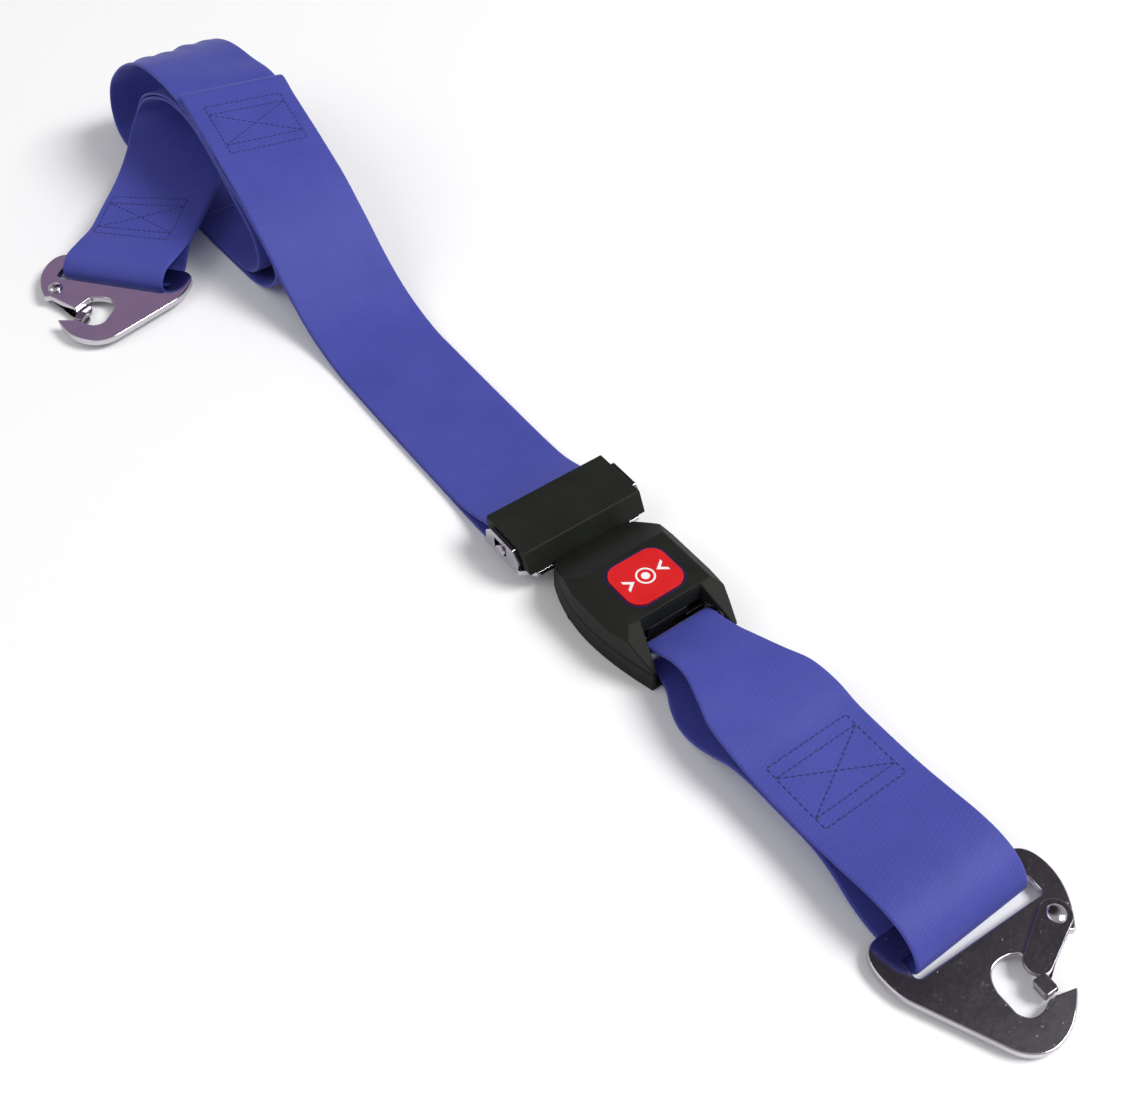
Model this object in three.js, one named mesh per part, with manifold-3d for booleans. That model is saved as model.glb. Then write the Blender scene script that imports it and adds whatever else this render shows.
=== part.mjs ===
// Two-piece restraint strap: push-button buckle, slide-bar adjuster and two sprung clips.
// Millimetres, +Z up. The strap lies along X on the plane z = 0, short end towards +X.
import * as THREE from 'three';
import { mergeVertices } from 'three/addons/utils/BufferGeometryUtils.js';
import Module from 'manifold-3d';

const wasm = await Module();
wasm.setup();

// ---- driving dimensions ----
const GAP = 0.3;            // clearance between neighbouring pieces
const WEB_W = 50.8;         // webbing width
const WEB_T = 1.6;          // webbing thickness
const LAYER = WEB_T + GAP;  // pitch of stacked webbing layers
const FLOOR_WEB = WEB_T / 2;
const BUCKLE = { front: -135.5, rear: -71, nose: -116.5, ridge: -87, top: 22, split: 9.3, wall: 1.8 };
const BUCKLE_Y = -1.3;      // middle plane of the buckle and tongue
const TONGUE = { low: 7, high: 9.4, blade: 12.4, tip: -99, rear: -164, front: -141, half: 30.4 };
const BAR = { x: -79.5, z: 8.5, r: 2.8, half: 19.1 };
const LOCK = { x: -152, z: 12.3, r: 2.4, half: 31.6 };
const BUTTON = { x: -101.5, length: 21.4, width: 25.6, corner: 6, top: 22.7, legX: 3, legY: 15.3 };
const CLIP = { thick: 3, gateLow: 3.3, gateHigh: 5, headLow: -2, headHigh: 6.2, pivot: [8, 24] };
const NEAR_CLIP = { x: 68.8, y: 0.4, z: 2, turn: -3.2 };
const FAR_CLIP = { x: -403.5, y: -81.5, z: 6.2, turn: -49.83 };

// ---- colours ----
const finish = (color, roughness, metalness) => ({ color, roughness, metalness });
const WEBBING = finish(0x5555aa, 0.55, 0);
const BLACK = finish(0x1e231c, 0.6, 0);
const RED = finish(0xde2428, 0.4, 0);
const CHROME = finish(0xb8b0bc, 0.15, 1);
const STEEL = finish(0x8c8f94, 0.35, 1);

const root = new THREE.Group();
const rad = THREE.MathUtils.degToRad;

function addMesh(name, geometry, look, group = root) {
  const material = new THREE.MeshStandardMaterial(look);
  const mesh = new THREE.Mesh(geometry, material);
  mesh.name = name;
  group.add(mesh);
  return mesh;
}

// ---- solids and booleans ----
function toSolid(geometry) {
  const bare = geometry.clone();
  bare.deleteAttribute('normal');
  bare.deleteAttribute('uv');
  const merged = mergeVertices(bare, 1e-4);
  const vertProperties = new Float32Array(merged.attributes.position.array);
  const triVerts = new Uint32Array(merged.index.array);
  return new wasm.Manifold(new wasm.Mesh({ numProp: 3, vertProperties, triVerts }));
}

function toGeometry(solid) {
  const mesh = solid.getMesh();
  const geometry = new THREE.BufferGeometry();
  geometry.setAttribute('position', new THREE.BufferAttribute(mesh.vertProperties, 3));
  geometry.setIndex(new THREE.BufferAttribute(mesh.triVerts, 1));
  return geometry;
}

function box(x0, x1, y0, y1, z0, z1) {
  const geometry = new THREE.BoxGeometry(x1 - x0, y1 - y0, z1 - z0);
  geometry.translate((x0 + x1) / 2, (y0 + y1) / 2, (z0 + z1) / 2);
  return toSolid(geometry);
}

// A flat outline in X and Y, raised from z0 to z1.
function plate(shape, z0, z1, curveSegments = 6) {
  const geometry = new THREE.ExtrudeGeometry(shape, { depth: z1 - z0, bevelEnabled: false, curveSegments });
  geometry.translate(0, 0, z0);
  return toSolid(geometry);
}

// A side profile in X and Z, run across from y0 to y1.
function profile(points, y0, y1) {
  const turned = new THREE.ExtrudeGeometry(
    new THREE.Shape(points.map(([x, z]) => new THREE.Vector2(x, z))), { depth: y1 - y0, bevelEnabled: false });
  turned.rotateX(Math.PI / 2);
  turned.translate(0, y1, 0);
  return toSolid(turned);
}

function rod(axis, length, radius, [x, y, z], sides = 20) {
  const geometry = new THREE.CylinderGeometry(radius, radius, length, sides);
  if (axis === 'x') geometry.rotateZ(Math.PI / 2);
  if (axis === 'z') geometry.rotateX(Math.PI / 2);
  geometry.translate(x, y, z);
  return toSolid(geometry);
}

function polygon(points) {
  return new THREE.Shape(points.map(([x, y]) => new THREE.Vector2(x, y)));
}

function roundedRect(x0, x1, y0, y1, r) {
  const shape = new THREE.Shape();
  shape.moveTo(x0 + r, y0);
  shape.lineTo(x1 - r, y0);
  shape.absarc(x1 - r, y0 + r, r, -Math.PI / 2, 0);
  shape.lineTo(x1, y1 - r);
  shape.absarc(x1 - r, y1 - r, r, 0, Math.PI / 2);
  shape.lineTo(x0 + r, y1);
  shape.absarc(x0 + r, y1 - r, r, Math.PI / 2, Math.PI);
  shape.lineTo(x0, y0 + r);
  shape.absarc(x0 + r, y0 + r, r, Math.PI, 1.5 * Math.PI);
  return shape;
}

// A round-wire coil: a small polygon carried along a helix, with flat ends.
function coil(radius, wire, turns, length, [x, y, z], axis = 'z') {
  const points = [];
  const steps = Math.round(turns * 8);
  for (let i = 0; i <= steps; i += 1) {
    const a = (i / steps) * turns * 2 * Math.PI;
    points.push(new THREE.Vector3(radius * Math.cos(a), radius * Math.sin(a), (i / steps - 0.5) * length));
  }
  const path = new THREE.CatmullRomCurve3(points);
  const section = new THREE.Shape();
  section.absarc(0, 0, wire, 0, 2 * Math.PI);
  const geometry = new THREE.ExtrudeGeometry(section,
    { steps, curveSegments: 3, extrudePath: path, bevelEnabled: false });
  if (axis === 'x') geometry.rotateY(Math.PI / 2);
  geometry.translate(x, y, z);
  return toGeometry(toSolid(geometry));
}

// ---- webbing ----
// Stations are [x, y, z, turn, half width, lean]: the middle of the webbing, the bearing of its cross line in
// degrees from +X, half its width, and the cross line's rise in degrees.
function crossLine(turn, lean) {
  return new THREE.Vector3(Math.cos(turn) * Math.cos(lean), Math.sin(turn) * Math.cos(lean), Math.sin(lean));
}

function ribbon(stations, { steps, closed = false }) {
  const count = closed ? stations.length + 1 : stations.length;
  const middle = new THREE.CatmullRomCurve3(
    stations.map(([x, y, z]) => new THREE.Vector3(x, y, z)), closed, 'centripetal');
  const sections = [];
  const rings = closed ? steps : steps + 1;
  for (let i = 0; i < rings; i += 1) {
    const t = i / steps;
    const at = middle.getPoint(t);
    const along = middle.getTangent(t);
    const place = t * (count - 1);
    const a = stations[Math.floor(place) % stations.length];
    const b = stations[Math.min(Math.floor(place) + 1, count - 1) % stations.length];
    const mix = place - Math.floor(place);
    const turn = rad(a[3] * (1 - mix) + b[3] * mix);
    const half = a[4] * (1 - mix) + b[4] * mix;
    const lean = rad((a[5] || 0) * (1 - mix) + (b[5] || 0) * mix);
    const cross = crossLine(turn, lean);
    const normal = new THREE.Vector3().crossVectors(along, cross).normalize();
    const corners = [[-1, -1], [1, -1], [1, 1], [-1, 1]].map(([side, face]) => at.clone()
      .addScaledVector(cross, side * half)
      .addScaledVector(normal, (face * WEB_T) / 2));
    sections.push(corners);
  }
  return skin(sections, closed);
}

function skin(sections, closed) {
  const size = sections[0].length;
  const positions = sections.flat().flatMap((p) => [p.x, p.y, p.z]);
  const index = [];
  const links = closed ? sections.length : sections.length - 1;
  for (let i = 0; i < links; i += 1) {
    const here = i * size;
    const next = ((i + 1) % sections.length) * size;
    for (let k = 0; k < size; k += 1) {
      const j = (k + 1) % size;
      index.push(here + k, here + j, next + j, here + k, next + j, next + k);
    }
  }
  if (!closed) {
    const last = (sections.length - 1) * size;
    for (let k = 1; k < size - 1; k += 1) {
      index.push(0, k + 1, k);
      index.push(last, last + k, last + k + 1);
    }
  }
  const geometry = new THREE.BufferGeometry();
  geometry.setAttribute('position', new THREE.Float32BufferAttribute(positions, 3));
  geometry.setIndex(index);
  if (signedVolume(geometry) < 0) {
    geometry.setIndex(index.slice().reverse());
  }
  return geometry;
}

function signedVolume(geometry) {
  const position = geometry.attributes.position;
  const corner = [new THREE.Vector3(), new THREE.Vector3(), new THREE.Vector3()];
  let total = 0;
  for (let i = 0; i < geometry.index.count; i += 3) {
    corner.forEach((v, k) => v.fromBufferAttribute(position, geometry.index.getX(i + k)));
    total += corner[0].dot(corner[1].clone().cross(corner[2]));
  }
  return total / 6;
}

const full = WEB_W / 2;
const straight = (x, y, z, turn = 88.5, lean = 0) => [x, y, z, turn, full, lean];

// The same stations moved along the webbing's normal: the middle of the next layer.
function layered(stations, offset) {
  return stations.map((station, i) => {
    const before = stations[Math.max(i - 1, 0)];
    const after = stations[Math.min(i + 1, stations.length - 1)];
    const along = new THREE.Vector3(after[0] - before[0], after[1] - before[1], after[2] - before[2]);
    const normal = along.cross(crossLine(rad(station[3]), rad(station[5] || 0))).normalize();
    return [station[0] + normal.x * offset, station[1] + normal.y * offset, station[2] + normal.z * offset,
      ...station.slice(3)];
  });
}

const low = FLOOR_WEB + LAYER;

// Top layer, from the adjuster to the turned hem at its cut end.
const TAIL = [
  straight(-168.2, -2.1, 9.3), straight(-176, -2, 6.4), straight(-186, -2, 3.7), straight(-200, -1.8, low),
  straight(-228, -1.4, low), straight(-256, -0.8, low),
  straight(-276, -0.3, low + 0.02, 88.2), straight(-285, -0.1, low + 0.16, 88), straight(-292, 0.2, low + 0.8, 87.8),
  straight(-300, 0.5, 4.9, 87.5), straight(-312, 0.9, 8.3, 86.5), straight(-323, 1.4, 13.5, 86),
  straight(-335, 2, 21, 85), straight(-347, 2.7, 30, 84), straight(-358, 3.3, 37.6, 83),
  straight(-370, 4.3, 44, 82), straight(-384, 5.4, 49.5, 81), straight(-398, 6.8, 53.8, 80),
  straight(-412, 8.2, 57.4, 79.5), straight(-424, 9.4, 60.5, 79), straight(-435, 10.6, 62.8, 79),
];

// The outer loop of the stored strap, from under the hem over the top and down to the table.
const LOOP = [
  straight(-435.5, 9.8, 58.6, 79, -0.5), straight(-447, 9.8, 58.9, 80, -5), straight(-463, 9.6, 58.2, 83, -8),
  straight(-479, 9.3, 56.2, 86, -9), straight(-494, 9, 51.5, 88, -8), straight(-506, 8.6, 45, 89, -7),
  straight(-517, 8, 37, 89, -6), straight(-525, 7.2, 28.5, 88, -6), straight(-529, 6.2, 20, 88, -6),
  straight(-530, 5.4, 11, 88, -5), straight(-526.8, 4.6, 4.6, 88, -2), straight(-520, 4, 1.6, 88.5),
  straight(-512, 3.4, FLOOR_WEB, 89),
];

// Back along the table and up inside the loop.
const FOLD = [
  straight(-511.5, 3.3, FLOOR_WEB, 89), straight(-470, 1.4, FLOOR_WEB, 89), straight(-430, 0.4, FLOOR_WEB, 89),
  straight(-395, 1, FLOOR_WEB, 89), straight(-382, 1.4, FLOOR_WEB + 0.04, 89), straight(-374, 1.7, 1.05, 89),
  straight(-366, 2, 2.4, 89),
  straight(-357, 2.4, 6.6, 89), straight(-350, 2.8, 12.5, 89), straight(-346.6, 3.2, 18.6, 89),
  straight(-348.2, 3.4, 24.4), straight(-354.5, 3.8, 29.2, 88), straight(-364, 4.4, 34.2, 87),
  straight(-376, 5.2, 39.5, 86), straight(-389, 6.2, 43.4, 85), straight(-399.2, 7.3, 46.5, 83),
];

// The free end inside the roll, up to the same height.
const ROLL = [
  straight(-430, 1, low, 89), straight(-400, 1.4, low, 89), straight(-386, 1.8, low + 0.1, 89),
  straight(-377, 2, 4.2, 89), straight(-370, 2.3, 7.6, 89), straight(-365.2, 2.5, 12.5, 89),
  straight(-363.2, 2.9, 18, 89), straight(-364, 3.4, 24), straight(-367.5, 3.9, 29.3, 88),
  straight(-373.5, 4.5, 33.2, 87), straight(-381, 5.2, 36.6, 86), straight(-389, 6, 40.3, 85),
  straight(-401, 7.4, 45, 83),
];

// Over the crest of the roll and down to the far clip.
const RUN = [
  straight(-401, 7.4, 45, 83), straight(-412, 8.8, 47.8, 81), straight(-427, 10.6, 50, 79),
  straight(-445, 11.8, 50, 76), straight(-461, 12, 47, 74), straight(-477, 9.8, 40.5, 72),
  straight(-486, 8.4, 33, 69), straight(-489, 5.4, 26, 66), straight(-483, -1.6, 20.5, 62),
  straight(-469, -11.6, 18, 57), straight(-448.4, -27.4, 17.2, 52), straight(-431.6, -44, 15.5, 47.5),
];
const CLIP_WRAP = [
  straight(-420.5, -55.5, 14.2, 44), straight(-411.8, -66.8, 14.8, 41), straight(-408.8, -74, 12.8, 40.2),
  straight(-406.8, -77.9, 8.5, 40.2), straight(-406.4, -78.6, 4.6, 40.2), straight(-407.2, -77.3, 2.1, 40.2),
  straight(-409.8, -73.2, 1.2, 40.2), straight(-414, -66.6, 1.6, 40.2), straight(-418.5, -59.5, 5.4, 40.2),
  straight(-423.5, -53, 9.8, 42),
];

function addLongStrap() {
  const wrap = [
    [-167.6, 9.5], [-164, 10.6], [-160.8, 12.4], [-158.2, 14.3], [-155, 15.55], [-151.8, 15.75], [-149.4, 14.7],
    [-148.5, 12.3], [-148.6, 9], [-149.6, 6], [-152.6, 3.3], [-157.5, 1.7], [-162.5, 1], [-167.6, FLOOR_WEB],
  ];
  addMesh('long_strap_wrap',
    ribbon(wrap.map(([x, z]) => [x, -2.1, z, 90, full]), { steps: 52 }), WEBBING);

  // The tail ends in a hem: it turns under itself and runs back one box of stitching.
  const hem = layered(TAIL.slice(-4), LAYER).reverse();
  const turn = straight(-436.5, 10.5, 62.1, 79);
  addMesh('long_strap_upper', ribbon([...TAIL, turn, ...hem], { steps: 116 }), WEBBING);

  const table = [straight(-168.2, -2.1, FLOOR_WEB, 90), straight(-186, -2, FLOOR_WEB, 89)];
  const under = [...layered(TAIL.slice(0, -5), LAYER).slice(3), ...layered(TAIL.slice(-5, -1), 2 * LAYER)];
  addMesh('long_strap_lower', ribbon([...table, ...under], { steps: 76 }), WEBBING);
  addMesh('long_strap_loop', ribbon(LOOP, { steps: 60 }), WEBBING);
  addMesh('long_strap_fold', ribbon(FOLD, { steps: 56 }), WEBBING);
  addMesh('long_strap_inner_fold', ribbon(ROLL, { steps: 48 }), WEBBING);
  addMesh('long_strap_clip_loop', ribbon([straight(-401.4, 7.5, 45.1, 83), ...RUN.slice(1), ...CLIP_WRAP],
    { steps: 92 }), WEBBING);
  addMesh('long_strap_lining', ribbon(layered(RUN, -LAYER), { steps: 56 }), WEBBING);
}

function addShortStrap() {
  const slim = 15.4;
  const wrap = BAR.r + GAP + WEB_T / 2 + 0.1;
  const across = (x, z, half = full, y = 0, lean = 0) => [x, y, z, 90, half, lean];
  const route = [
    across(BAR.x - wrap, BAR.z, slim, BUCKLE_Y), across(BAR.x - wrap * 0.7, BAR.z + wrap * 0.7, slim, BUCKLE_Y),
    across(BAR.x, BAR.z + wrap, slim, BUCKLE_Y), across(-73, 14.8, 15.6, -1.1, -4), across(-66, 17, 16.2, -0.8, -7),
    across(-58, 18.8, 17.6, -0.6, -6), across(-48, 19.4, 20.6, -0.7, -3), across(-38, 18.8, 24, -0.3),
    across(-26, 17.5), across(-16, 15.6), across(0, 15), across(16, 15.3), across(29, 16.6), across(41, 17.9),
    across(51, 17.4), across(58.5, 14.6), across(63.2, 9.8), across(64.9, 4.6), across(63.5, 1.75),
    across(60, 0.9), across(56, 0.85), across(51, 0.88), across(44, 1.6), across(35, 4.6), across(27, 9.2),
    across(17, 12.7), across(0, 15 - LAYER - 0.1), across(-17, 12.5), across(-25, 10.6), across(-34, 6),
    across(-43, 2.4), across(-52, 1, 24.6), across(-60, 1.2, 22), across(-67, 2.6, 18.5),
    across(-73.5, 4, 16.2, -1.1), across(BAR.x, BAR.z - wrap, slim, BUCKLE_Y),
    across(BAR.x - wrap * 0.7, BAR.z - wrap * 0.7, slim, BUCKLE_Y),
  ];
  addMesh('short_strap', ribbon(route, { steps: 180, closed: true }), WEBBING);
}

// ---- buckle ----
// Half widths of the buckle along X, as an outline seen from above.
function buckleOutline(inset) {
  const { front, rear } = BUCKLE;
  const f = front + inset;
  const r = rear - inset;
  const shape = new THREE.Shape();
  shape.moveTo(f, -15.5 + inset);
  shape.quadraticCurveTo(f, -18.4 + inset, f + 3.2, -19.6 + inset);
  shape.quadraticCurveTo(-120, -25.2 + inset, -105, -25.4 + inset);
  shape.quadraticCurveTo(-90, -25.4 + inset, r, -20 + inset);
  shape.lineTo(r, 20 - inset);
  shape.quadraticCurveTo(-90, 25.4 - inset, -105, 25.4 - inset);
  shape.quadraticCurveTo(-120, 25.2 - inset, f + 3.2, 19.6 - inset);
  shape.quadraticCurveTo(f, 18.4 - inset, f, 15.5 - inset);
  shape.closePath();
  return shape;
}

function buckleBody(inset) {
  const { front, rear, nose, ridge, top } = BUCKLE;
  let body = plate(buckleOutline(inset), inset, top - inset, 10);
  const silhouette = [
    [front - 1, inset - 1], [rear + 1, inset - 1], [rear + 1, 10 - inset], [rear, 10.4 - inset],
    [ridge, top - inset], [nose + 1, top - inset], [nose, top - 0.7 - inset], [front, 11.4 - inset],
    [front - 1, 11 - inset],
  ];
  body = body.intersect(profile(silhouette, -30, 30));
  for (const side of [-1, 1]) {
    const slope = [[19.6 - inset, top - inset + 0.01], [19.6 - inset, top + 2], [30, top + 2], [30, 8],
      [26 - inset, 8.4], [24.6 - inset, 17.4 - inset]];
    const wedge = new THREE.ExtrudeGeometry(
      polygon(slope.map(([y, z]) => [y * side, z])), { depth: 80, bevelEnabled: false });
    wedge.rotateX(Math.PI / 2);
    wedge.rotateZ(Math.PI / 2);
    wedge.translate(front - 5, 0, 0);
    body = body.subtract(toSolid(wedge));
  }
  return body;
}

const pillars = [[-117, 21.5], [-93, 21.5]].flatMap(([x, y]) => [[x, y], [x, -y]]);

function buckleShells() {
  const outer = buckleBody(0);
  let shell = outer.subtract(buckleBody(BUCKLE.wall));
  for (const [x, y] of pillars) {
    shell = shell.add(rod('z', BUCKLE.top, 2.3, [x, y, BUCKLE.top / 2], 12).intersect(outer));
  }
  const pocket = polygon([[BUCKLE.ridge + 0.6, -14.3], [BUCKLE.rear + 2, -18.8], [BUCKLE.rear + 2, 18.8],
    [BUCKLE.ridge + 0.6, 14.3]]);
  const pocketWall = polygon([[BUCKLE.ridge - 1, -16.1], [BUCKLE.rear, -20.4], [BUCKLE.rear, 20.4],
    [BUCKLE.ridge - 1, 16.1]]);
  shell = shell.add(plate(pocketWall, 13.6, BUCKLE.top).intersect(outer));
  shell = shell.subtract(plate(pocket, 2.2, BUCKLE.top + 3));
  const mouth = box(BUCKLE.front - 3, BUCKLE.front + 3, -13.6, 13.6, 6.4, 10);
  shell = shell.subtract(mouth);
  return shell;
}

function buttonWindow(grow) {
  const { x, length, width, corner } = BUTTON;
  return roundedRect(x - length / 2 - grow, x + length / 2 + grow, -width / 2 - grow, width / 2 + grow, corner);
}

function addBuckle(group) {
  const shell = buckleShells();
  const screwHoles = (solid, z0, z1, r) => pillars.reduce(
    (rest, [x, y]) => rest.subtract(rod('z', z1 - z0, r, [x, y, (z0 + z1) / 2], 12)), solid);

  let upper = shell.intersect(box(-150, -60, -40, 40, BUCKLE.split, 40));
  upper = upper.subtract(plate(buttonWindow(GAP), BUCKLE.top - 6, BUCKLE.top + 3, 5));
  upper = screwHoles(upper, 5, 13.4, 1.4);
  addMesh('buckle_upper_cover', toGeometry(upper), BLACK, group);

  let lower = shell.intersect(box(-150, -60, -40, 40, -5, BUCKLE.split - GAP));
  lower = screwHoles(lower, -1, 12, 1.4);
  lower = screwHoles(lower, -1, 1.8, 2.4);
  addMesh('buckle_lower_cover', toGeometry(lower), BLACK, group);

  pillars.forEach(([x, y], i) => {
    const screw = rod('z', 12.6, 1.1, [x, y, 6.7], 10).add(rod('z', 1.1, 2.1, [x, y, 0.95], 12));
    addMesh(`cover_screw_${i + 1}`, toGeometry(screw), STEEL, group);
  });

  addFrame(group);
  addButton(group);
  addLatch(group);
  addEjector(group);
}

const FRAME = { low: 5.2, high: 6.7, inner: 17.4, outer: 18.8, top: 13 };

function addFrame(group) {
  const { low, high, inner, outer, top } = FRAME;
  let frame = box(-128.4, -88, -outer, outer, low, high);
  for (const side of [-1, 1]) {
    const near = Math.min(inner * side, outer * side);
    const walls = profile([[-126, low], [-75.7, low], [-75.7, 10.6], [-79, top], [-126, top - 3]], near,
      near + outer - inner);
    frame = frame.add(walls);
    frame = frame.subtract(rod('y', 8, BAR.r + GAP, [BAR.x, side * 18, BAR.z], 20));
    frame = frame.subtract(box(-105.2, -96.8, side > 0 ? 13.2 : -inner, side > 0 ? inner : -13.2, 0, high + 1));
  }
  frame = frame.add(box(-88.6, -87.4, -9, 9, low, 12));
  frame = frame.subtract(box(-116, -107.6, -6.4, 6.4, 0, high + 1));
  for (const y of [-4.5, 4.5]) {
    frame = frame.subtract(rod('z', 10, 1.8, [-125, y, 5], 14));
  }
  addMesh('buckle_frame', toGeometry(frame), STEEL, group);
  addMesh('strap_bar', toGeometry(rod('y', BAR.half * 2, BAR.r, [BAR.x, 0, BAR.z], 20)), STEEL, group);
}

function addButton(group) {
  const { x, top, legX, legY } = BUTTON;
  let button = plate(buttonWindow(0), 17.4, top, 5);
  button = button.subtract(plate(buttonWindow(-1.6), 17, top - 1.8, 5));
  const flange = buttonWindow(1.6);
  button = button.add(plate(flange, 15.4, 17.4, 5).subtract(plate(buttonWindow(-1.6), 15, 17.5, 5)));
  for (const side of [-1, 1]) {
    button = button.add(box(x - legX, x + legX, side * legY - 1.4, side * legY + 1.4, 5.2, 15.9));
    button = button.add(box(-96.6, -92, side * 13.4 - 1.2, side * 13.4 + 1.2, 14.4, 15.9));
  }
  addMesh('push_button', toGeometry(button), RED, group);
  ['right', 'left'].forEach((side, i) => {
    const seat = [-94.2, (i * 2 - 1) * 13.4, 10.6];
    addMesh(`button_spring_${side}`, coil(1.9, 0.35, 4, 6, seat), STEEL, group);
  });
}

function addLatch(group) {
  const outline = polygon([[-130, -7], [-104.5, -7], [-104.5, -16.4], [-97.5, -16.4], [-97.5, 16.4],
    [-104.5, 16.4], [-104.5, 7], [-130, 7]]);
  let leaf = plate(outline, 4, 4.8);
  leaf = leaf.add(profile([[-114.8, 4], [-108.8, 4], [-108.8, 9], [-112, 9], [-114.8, 6.4]], -5.4, 5.4));
  for (const y of [-4.5, 4.5]) {
    leaf = leaf.subtract(rod('z', 10, 1.8, [-125, y, 5], 14));
  }
  addMesh('latch_leaf', toGeometry(leaf), STEEL, group);
  ['right', 'left'].forEach((side, i) => {
    const y = (i * 2 - 1) * 4.5;
    const rivet = rod('z', 3.1, 1.5, [-125, y, 4.95], 14).add(rod('z', 0.7, 2.4, [-125, y, 3.3], 14));
    addMesh(`latch_rivet_${side}`, toGeometry(rivet), STEEL, group);
  });
}

function addEjector(group) {
  let ejector = box(-98.4, -95.2, -9, 9, 7, 11.4);
  ejector = ejector.add(rod('x', 2.4, 1.2, [-94.4, 0, 9.4], 12));
  addMesh('ejector', toGeometry(ejector), BLACK, group);
  addMesh('ejector_spring', coil(1.9, 0.35, 4, 4.9, [-92.1, 0, 9.4], 'x'), STEEL, group);
}

// ---- tongue and adjuster ----
function addTongue(group) {
  const { low, high, blade, tip, rear, front, half } = TONGUE;
  const side = [[rear, half], [front, half], [-138.6, 26.5], [-136, 25], [-133.4, 24.6]];
  const nose = [[-135.8, 22.6], [-135.8, blade], [tip - 3.5, blade], [tip, blade - 3.5]];
  const right = [...side.slice(0, 4), ...nose];
  const outline = polygon([...right, ...right.slice().reverse().map(([x, y]) => [x, -y])]);
  let tongue = plate(outline, low, high);
  tongue = tongue.subtract(plate(roundedRect(-158.5, -146.8, -26.6, 26.6, 1.5), low - 1, high + 1, 3));
  tongue = tongue.subtract(plate(roundedRect(-118.2, -108.2, -7.4, 7.4, 1.5), low - 1, high + 1, 3));
  const slot = roundedRect(-157.3, LOCK.x + LOCK.r + GAP, 9.7, 14.9, 1.2);
  for (const edge of [-half, half - 1.8]) {
    const ear = profile([[-163, low], [-141.6, low], [-141.6, 12.4], [-145.2, 17.2], [-159.6, 17.4], [-163, 14]],
      edge, edge + 1.8);
    const cut = new THREE.ExtrudeGeometry(slot, { depth: 6, bevelEnabled: false, curveSegments: 3 });
    cut.rotateX(Math.PI / 2);
    cut.translate(0, edge + 4, 0);
    tongue = tongue.add(ear).subtract(toSolid(cut));
  }
  addMesh('tongue_plate', toGeometry(tongue), CHROME, group);
  addMesh('lock_bar', toGeometry(rod('y', LOCK.half * 2, LOCK.r, [LOCK.x, 0, LOCK.z], 16)), STEEL, group);

  const outer = [[-165.5, 18.6], [-140.2, 18.6], [-136, 9.75], [-138, 9.75], [-141.2, 17], [-165.5, 17]];
  let cover = profile(outer, -28.2, 28.2);
  for (const edge of [-28.2, 26.7]) {
    const cheek = [[-165.5, 14.5], [-165.5, 18], [-140.4, 18], [-136.6, 9.75], [-141.8, 9.75], [-160, 10.6]];
    cover = cover.add(profile(cheek, edge, edge + 1.5));
  }
  cover = cover.subtract(box(-158, LOCK.x + LOCK.r + GAP, -30, 30, 9, 15.1));
  addMesh('adjuster_cover', toGeometry(cover), BLACK, group);
}

// ---- clips ----
// Local frame: x = 0 at the slot's front edge, +x to the hook's apex, +y to the rivet's end of the slot.
function clipOutline() {
  const shape = new THREE.Shape();
  shape.moveTo(-18, -29);
  shape.quadraticCurveTo(-17.6, -36, -9, -36.6);
  shape.quadraticCurveTo(-1, -36.8, 4.5, -34);
  shape.lineTo(31.5, -19.4);
  shape.quadraticCurveTo(38.4, -15.4, 39.2, -8);
  shape.quadraticCurveTo(39.6, 2.5, 28.8, 12.6);
  shape.lineTo(26.9, 4.6);
  shape.quadraticCurveTo(26.6, 2.4, 27.8, 0);
  shape.quadraticCurveTo(30.4, -7, 24.5, -9.2);
  shape.lineTo(16.5, -9.3);
  shape.quadraticCurveTo(7.2, -7.5, 9.6, 2.6);
  shape.lineTo(11, 5.4);
  shape.lineTo(19.6, 8.4);
  shape.lineTo(13.9, 24);
  shape.lineTo(15, 26.4);
  shape.quadraticCurveTo(4, 36.6, -7, 36.4);
  shape.quadraticCurveTo(-17.4, 36, -18, 28);
  shape.closePath();
  return shape;
}

function capsule(x, y, angle, length, r0, r1) {
  const shape = new THREE.Shape();
  const lean = Math.asin((r0 - r1) / length);
  const end = [x + length * Math.cos(angle), y + length * Math.sin(angle)];
  shape.absarc(x, y, r0, angle + Math.PI / 2 - lean, angle - Math.PI / 2 + lean, false);
  shape.absarc(end[0], end[1], r1, angle - Math.PI / 2 + lean, angle + Math.PI / 2 - lean, false);
  return shape;
}

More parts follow.
